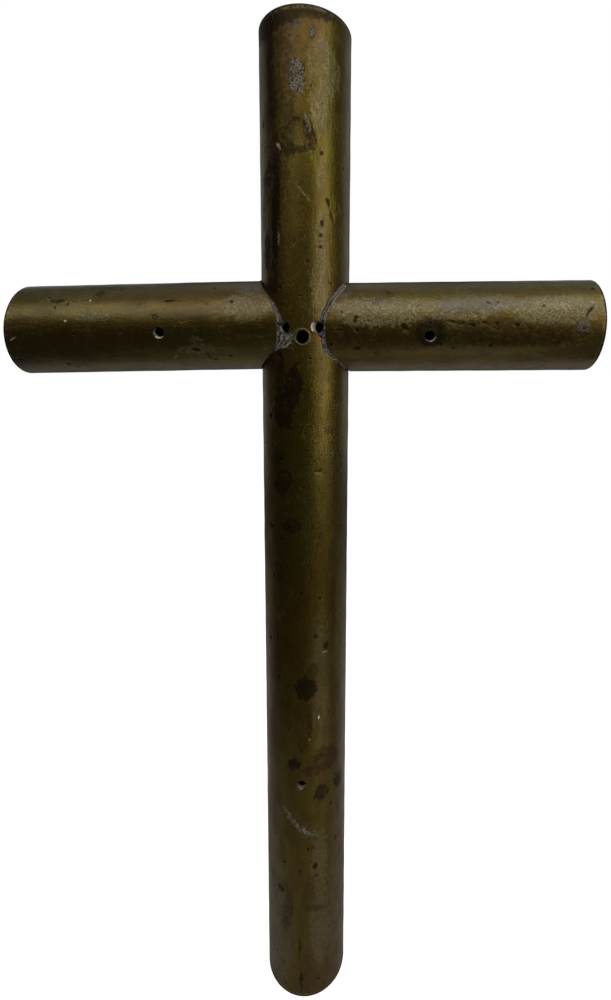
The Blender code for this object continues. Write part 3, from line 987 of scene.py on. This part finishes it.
def largest(tree, *values):
    result = values[0]
    for value in values[1:]:
        result = maths(tree, "MAXIMUM", result, value)
    return result


def summed(tree, start, terms, clamp=False):
    # start plus every value times its factor
    result = start
    for number, (value, factor) in enumerate(terms):
        last = number == len(terms) - 1
        result = maths(tree, "ADD", result, scaled(tree, value, factor), clamp and last)
    return result


def layered(tree, colour, layers):
    # each layer covers what lies under it by its mask times its share
    for mask, share, shade in layers:
        colour = blendColour(tree, scaled(tree, mask, share), colour, shade)
    return colour


def foldLines(tree, coordinates, size, detail, roughness, distortion, wide, narrow):
    # thin wandering lines where a noise crosses its middle value
    lines = noise(tree, coordinates, size, detail, roughness, distortion)
    return remap(tree, maths(tree, "ABSOLUTE", maths(tree, "SUBTRACT", lines, 0.5)), wide, narrow)


def emptyMaterial(name):
    material = bpy.data.materials.new(name)
    material.use_nodes = True
    material.node_tree.nodes.clear()
    return material, material.node_tree


def setSurface(tree, height, distance, inputs):
    bump = put(tree, "ShaderNodeBump", {"Height": height, "Strength": 0.8, "Distance": distance})
    shader = put(tree, "ShaderNodeBsdfPrincipled", {**inputs, "Normal": bump.outputs["Normal"]})
    output = put(tree, "ShaderNodeOutputMaterial")
    tree.links.new(shader.outputs[0], output.inputs["Surface"])


def bronzeMaterial(name, look):
    # stretch draws the patina out along the tube, shift moves it so that no two tubes look alike
    material, tree = emptyMaterial(name)
    coordinates = put(tree, "ShaderNodeTexCoord").outputs["Object"]
    drawn = put(tree, "ShaderNodeMapping", {
        "Vector": coordinates, "Location": look["shift"], "Scale": look["stretch"],
    }).outputs[0]
    mottle = useGroup(tree, "mottle", {"Vector": drawn})
    speck = remap(tree, noise(tree, coordinates, 0.55 * mm, 3.0, 0.7), 0.36, 0.64)
    crumb = remap(tree, noise(tree, coordinates, 1.1 * mm, 6.0, 0.75), 0.44, 0.56)
    crinkle = foldLines(tree, coordinates, 1.5 * mm, 3.0, 0.6, 0.8, 0.075, 0.02)
    cloud = remap(tree, noise(tree, drawn, 6.5 * mm, 7.0, 0.72, 0.5), 0.48, 0.66)
    masks = {}
    for finish in finishes:
        value = attribute(tree, finish)
        masks[finish] = useGroup(tree, "marks", {"Vector": coordinates, "Stored": value})["Mask"]
    smallPits = useGroup(tree, "pits", {"Vector": coordinates, "Cell": 3.2 * mm})["Mask"]
    tinyPits = useGroup(tree, "pits", {"Vector": coordinates, "Cell": 1.1 * mm})["Mask"]
    pits = largest(tree, smallPits, scaled(tree, tinyPits, 0.6))
    scratch = useGroup(tree, "scratches", {"Vector": coordinates, "Stretch": look["stretch"]})["Mask"]
    inner = attribute(tree, "inner")
    # painted highlight: a lighter band beside each sawn end
    rimHighlight = maths(tree, "MULTIPLY", attribute(tree, "edge"), crumb)

    # worn places and the painted highlights are speckled and duller; tin and the painted highlight laid with
    # it only speckled
    wearAndSheenMask = largest(tree, scaled(tree, cloud, 0.5 * look["worn"]), masks["worn"])
    speckled = summed(tree, 0.36, [(crumb, look["speckle"]), (mottle["Cloud"], -0.16)])
    worn = maths(tree, "MULTIPLY", wearAndSheenMask, speckled)
    plain = maths(tree, "SUBTRACT", 1.0, speck)
    dull = maths(tree, "MULTIPLY", plain, summed(tree, 0.25, [(wearAndSheenMask, 0.25)]))
    tinAndHighlightSpeckle = maths(tree, "MULTIPLY", masks["grey"], summed(tree, 0.25, [(crumb, 0.50)]))
    crustColour = blendColour(tree, crinkle, bronze["gap"], bronze["crust"])

    patina = blendColour(tree, mottle["Broad"], bronze["olive"], bronze["brown"])
    colour = layered(tree, patina, [
        (mottle["Cloud"], 0.55, bronze["umber"]),
        (worn, 1.0, bronze["khaki"]),
        (dull, 1.0, bronze["umber"]),
        (masks["red"], 0.85, bronze["rust"]),
        (masks["green"], 0.90, bronze["verdigris"]),
        (tinAndHighlightSpeckle, 1.0, bronze["tinAndHighlight"]),
        # dark marks: real stains, with painted shade strips, painted shadow in the hole mouths and painted
        # shade along the sawn ends
        (masks["dark"], 0.85, bronze["stainAndShade"]),
        (masks["pale"], 0.90, crustColour),
        (scratch, 0.35, bronze["khaki"]),
        (pits, 0.90, bronze["stainAndShade"]),
        (rimHighlight, 0.50, bronze["khaki"]),
        # bare metal, with painted glints on the hole mouths
        (masks["bare"], 1.0, bronze["bright"]),
        (inner, 0.90, bronze["inside"]),
    ])
    rough = summed(tree, bronze["roughness"], [
        (mottle["Cloud"], 0.10), (speck, 0.06), (worn, 0.10), (masks["pale"], 0.25), (masks["dark"], 0.12),
    ])
    metal = summed(tree, bronze["metallic"], [
        (masks["pale"], -0.55), (masks["bare"], -0.6), (inner, -0.7),
    ], clamp=True)
    covered = largest(tree, masks["dark"], masks["pale"], masks["red"], pits)
    coat = scaled(tree, summed(tree, 1.0, [(covered, -0.9)]), look["coat"])
    folds = maths(tree, "MULTIPLY", masks["pale"], crinkle)
    height = summed(tree, 0.0, [
        (mottle["Grain"], 0.30), (mottle["Cloud"], 0.35), (speck, 0.20), (pits, -1.2), (scratch, -0.3),
        (worn, 0.8), (tinAndHighlightSpeckle, 0.8), (folds, 2.0), (masks["dark"], -0.5),
    ])
    setSurface(tree, height, bronze["bump"], {
        "Base Color": colour, "Roughness": rough, "Metallic": metal,
        "Coat Weight": coat, "Coat Roughness": bronze["coatRoughness"],
    })
    return material


solderLook = {
    "grey": (0.150, 0.132, 0.112),
    "dull": (0.040, 0.028, 0.018),
    "pink": (0.170, 0.112, 0.088),
    "dark": (0.018, 0.012, 0.007),
    "light": (0.560, 0.520, 0.450),
    "metallic": 0.75,
    "roughness": 0.38,
    "bump": 0.20 * mm,
    "streaks": (16.0, 5.0, 1.0),
    "lowBorder": (0.04, 0.20),  # across the strip: 0 at its toe on the upright, 1 at the arm
    "highBorder": (0.90, 0.97),
    "ridge": (0.70, 0.80, 0.84, 0.92),
}


def solderMaterial(name, warmth):
    # warmth is the share of pinkish brown; both borders are dark, with a light ridge beside the arm
    material, tree = emptyMaterial(name)
    places = put(tree, "ShaderNodeTexCoord").outputs
    coordinates = places["Object"]
    across = put(tree, "ShaderNodeSeparateXYZ", {"Vector": places["UV"]}).outputs["Y"]
    mottle = useGroup(tree, "mottle", {"Vector": coordinates})
    pits = useGroup(tree, "pits", {"Vector": coordinates, "Cell": 0.9 * mm})["Mask"]
    scratch = useGroup(tree, "scratches", {"Vector": coordinates, "Stretch": (1.0, 1.0, 0.25)})["Mask"]
    crumb = remap(tree, noise(tree, coordinates, 0.9 * mm, 6.0, 0.75), 0.42, 0.58)
    crinkle = foldLines(tree, coordinates, 2.4 * mm, 1.0, 0.5, 0.6, 0.05, 0.015)
    laid = put(tree, "ShaderNodeMapping", {"Vector": places["UV"], "Scale": solderLook["streaks"]}).outputs[0]
    streak = remap(tree, noise(tree, laid, 1.0, 1.0, 0.5), 0.56, 0.64)
    lines = largest(tree, crinkle, streak)
    wander = maths(tree, "ADD", across, scaled(tree, maths(tree, "SUBTRACT", crumb, 0.5), 0.16))
    lowBorder = maths(tree, "SUBTRACT", 1.0, remap(tree, wander, *solderLook["lowBorder"]))
    highBorder = remap(tree, wander, *solderLook["highBorder"])
    border = largest(tree, scaled(tree, lowBorder, 0.75), highBorder)
    start, full, falling, end = solderLook["ridge"]
    ridge = maths(tree, "MULTIPLY", remap(tree, wander, start, full), remap(tree, wander, end, falling))
    colour = layered(tree, blendColour(tree, crumb, solderLook["dull"], solderLook["grey"]), [
        (maths(tree, "ADD", mottle["Broad"], 1.0), 0.5 * warmth, solderLook["pink"]),
        (mottle["Cloud"], 0.5, solderLook["dull"]),
        (scratch, 0.6, solderLook["light"]),
        (lines, 0.5, solderLook["light"]),
        (ridge, 0.6, solderLook["light"]),
        (pits, 0.8, solderLook["dark"]),
        (border, 0.7, solderLook["dark"]),
    ])
    height = summed(tree, 0.0, [(crumb, 0.8), (pits, -1.0), (scratch, -0.6), (ridge, 0.7), (lines, 0.8)])
    setSurface(tree, height, solderLook["bump"], {
        "Base Color": colour, "Metallic": solderLook["metallic"],
        "Roughness": summed(tree, solderLook["roughness"], [(mottle["Grain"], 0.2)]),
    })
    return material


# Pieces
def finishPiece(piece, node, material):
    piece.data.materials.clear()
    piece.data.materials.append(material)
    smoothShade(piece)
    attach(piece, "root")
    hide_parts(node)


uprightPiece = addPiece("upright_bronze_tube", closedGrid("upright", uprightRows()))
cutHoles(uprightPiece, upright, upright["holes"])
weatherAndShading(uprightPiece, upright, 11)
finishPiece(uprightPiece, upright["node"], bronzeMaterial("uprightBronze", upright["look"]))
print("upright tube made,", len(uprightPiece.data.vertices), "points")

for arm, name, warmth, seed in ((leftArm, "left", 0.15, 23), (rightArm, "right", 0.75, 37)):
    armPiece = addPiece(name + "_arm_bronze_tube", closedGrid(name + "Arm", armRows(arm)))
    cutHoles(armPiece, arm, arm["holes"])
    weatherAndShading(armPiece, arm, seed)
    finishPiece(armPiece, arm["node"], bronzeMaterial(name + "ArmBronze", arm["look"]))
    seamGrid = seamRows(arm, seed + 50)
    seamPiece = addPiece(name + "_solder_band", closedGrid(name + "Solder", seamGrid))
    layStrip(seamPiece.data, solder["columns"], solder["rows"])
    cutHoles(seamPiece, upright, upright["holes"][:3])
    finishPiece(seamPiece, arm["seamNode"], solderMaterial(name + "Solder", warmth))
    counts = [len(made.data.vertices) for made in (armPiece, seamPiece)]
    print(name, "arm and solder made,", counts[0], "and", counts[1], "points")


# Studio
studio = {
    "cameraAt": (0.018323, -0.179174, 0.237228),
    "cameraTurn": (82.8786, -0.407, 1.9361),
    "lens": 18.3114,
    "shift": (-0.03526, -0.070),
    "pale": (1.0, 1.0, 1.0),
    "around": (0.045, 0.045, 0.045),
    "floorSize": 12.0,
    "floorDrop": 0.05 * mm,
    "floorNear": (0.55, 0.52, 0.48),
    "floorFar": (0.07, 0.07, 0.07),
    "floorSpread": (0.04, 0.24),
    "floorBehind": (0.90, 0.88, 0.84),
    "floorBeyond": (0.30, 0.30, 0.29),
    "floorPale": 0.985,
    "floorFade": (0.25, 0.9),
    "behindFrom": (0.01, 0.10),  # where the floor's back colours take over, in metres
    "beyondFrom": (0.10, 0.60),
    "aimDrop": 0.03,  # the lights look this far below the crossing
}
lights = {
    "keyTopLeft": {"from": (-0.40, -0.62, 0.62), "distance": 0.9, "size": (0.56, 0.46), "power": 1.25},
    "keyTopRight": {"from": (0.26, -0.58, 0.76), "distance": 0.9, "size": (0.66, 0.40), "power": 1.9},
    "keyRightHigh": {"from": (0.76, -0.62, 0.42), "distance": 0.8, "size": (0.34, 0.45), "power": 1.1},
    "keyRight": {"from": (0.80, -0.60, 0.02), "distance": 0.8, "size": (0.34, 0.30), "power": 0.85},
    "keyLow": {"from": (0.40, -0.44, -0.80), "distance": 0.25, "size": (0.12, 0.10), "power": 0.016},
    "overhead": {"from": (0.08, 0.12, 1.0), "distance": 0.8, "size": (1.20, 1.10), "power": 1.15},
    "rimLeft": {"from": (-0.74, 0.67, 0.10), "distance": 1.0, "size": (0.8, 1.2), "power": 0.8},
    "rimRight": {"from": (0.70, 0.71, 0.10), "distance": 1.0, "size": (0.8, 1.2), "power": 1.1},
}


def addLight(name, values):
    # a soft rectangle that looks from its direction at a point just below the crossing
    data = bpy.data.lights.new(name, "AREA")
    data.shape = "RECTANGLE"
    data.size, data.size_y = values["size"]
    data.energy = values["power"]
    light = bpy.data.objects.new(name, data)
    light.visible_camera = False
    bpy.context.scene.collection.objects.link(light)
    direction = np.array(values["from"]) / np.linalg.norm(values["from"])
    aim = crossing - np.array([0.0, 0.0, studio["aimDrop"]])
    light.location = aim + direction * values["distance"]
    flat = math.hypot(direction[0], direction[1])
    light.rotation_euler = (math.atan2(flat, direction[2]), 0.0, math.atan2(direction[0], -direction[1]))


def floorMaterial():
    # pale to the camera, whiter with distance so that it meets the world without a line
    material = bpy.data.materials.new("paleFloor")
    material.use_nodes = True
    tree = material.node_tree
    shader = tree.nodes["Principled BSDF"]
    shader.inputs["Roughness"].default_value = 0.8
    shader.inputs["Emission Color"].default_value = (1.0, 1.0, 1.0, 1.0)
    seen = put(tree, "ShaderNodeLightPath").outputs["Is Camera Ray"]
    place = put(tree, "ShaderNodeTexCoord").outputs["Object"]
    distance = put(tree, "ShaderNodeVectorMath", {0: place}, operation="LENGTH").outputs["Value"]
    near, far = studio["floorFade"]
    glow = remap(tree, distance, near, far, studio["floorPale"], 1.0)
    tree.links.new(maths(tree, "MULTIPLY", glow, seen), shader.inputs["Emission Strength"])
    away = remap(tree, distance, *studio["floorSpread"])
    colour = blendColour(tree, away, studio["floorNear"], studio["floorFar"])
    back = put(tree, "ShaderNodeSeparateXYZ", {"Vector": place}).outputs["Y"]
    behind = remap(tree, back, *studio["behindFrom"])
    beyond = remap(tree, distance, *studio["beyondFrom"])
    backColour = blendColour(tree, beyond, studio["floorBehind"], studio["floorBeyond"])
    tree.links.new(blendColour(tree, behind, colour, backColour), shader.inputs["Base Color"])
    return material


def makeStudio():
    scene = bpy.context.scene
    scene.view_settings.view_transform = "Standard"
    data = bpy.data.cameras.new("photoCamera")
    data.sensor_width = 36.0
    data.sensor_fit = "AUTO"
    data.lens = studio["lens"]
    data.shift_x, data.shift_y = studio["shift"]
    data.clip_start = 10.0 * mm
    camera = bpy.data.objects.new("photoCamera", data)
    camera.location = studio["cameraAt"]
    camera.rotation_euler = [math.radians(turn) for turn in studio["cameraTurn"]]
    scene.collection.objects.link(camera)
    scene.camera = camera

    world = bpy.data.worlds.new("paleStudio")
    world.use_nodes = True
    scene.world = world
    tree = world.node_tree
    tree.nodes.clear()
    seen = put(tree, "ShaderNodeLightPath").outputs["Is Camera Ray"]
    colour = blendColour(tree, seen, studio["around"], studio["pale"])
    background = put(tree, "ShaderNodeBackground", {"Color": colour})
    output = put(tree, "ShaderNodeOutputWorld")
    tree.links.new(background.outputs[0], output.inputs["Surface"])

    half, low = studio["floorSize"], -studio["floorDrop"]
    corners = [(-half, -half, low), (half, -half, low), (half, half, low), (-half, half, low)]
    mesh = bpy.data.meshes.new("floor")
    mesh.from_pydata(corners, [], [(0, 1, 2, 3)])
    floor = addPiece("floor", mesh)
    mesh.materials.append(floorMaterial())
    for name, values in lights.items():
        addLight(name, values)


makeStudio()
print("studio made")
